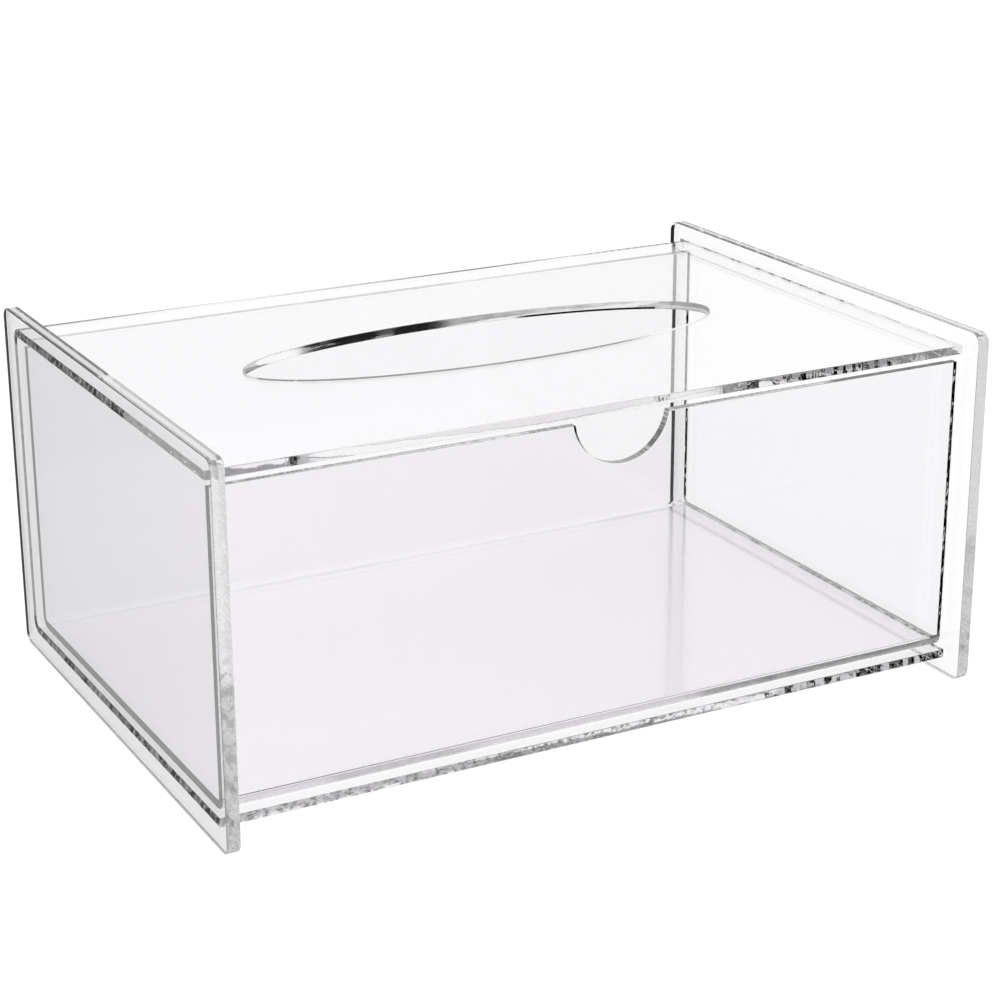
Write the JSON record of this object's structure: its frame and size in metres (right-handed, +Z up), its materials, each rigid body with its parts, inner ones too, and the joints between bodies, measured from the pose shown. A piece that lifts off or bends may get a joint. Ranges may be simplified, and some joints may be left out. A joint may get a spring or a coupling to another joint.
{
  "type": "tissue box with drawer",
  "caption": "Clear acrylic tissue box: two end panels carry a bent-sheet casing with an oval slot on top and a pull-out drawer tray with a finger notch.",
  "frame": {"origin": "on the ground plane, in the middle of the footprint", "axes": "+X to the right along the long side, +Y to the back, +Z up, seen from the drawer's side"},
  "size_m": [0.279, 0.194, 0.126],
  "materials": {
    "panel_acrylic": "clear, polished faces, saw-cut edges",
    "casing_acrylic": "clear, line-bent sheet",
    "tray_acrylic": "clear, line-bent sheet"
  },
  "bodies": {
    "casing": {"casing_sheet": "casing_acrylic", "left_end_panel": "panel_acrylic", "right_end_panel": "panel_acrylic"},
    "drawer": {"drawer_tray": "tray_acrylic"}
  },
  "joints": [
    {"name": "drawer_slide", "type": "slide", "parent": "casing", "child": "drawer", "axis": [0, -1, 0], "range_m": [0, 0.15]}
  ]
}
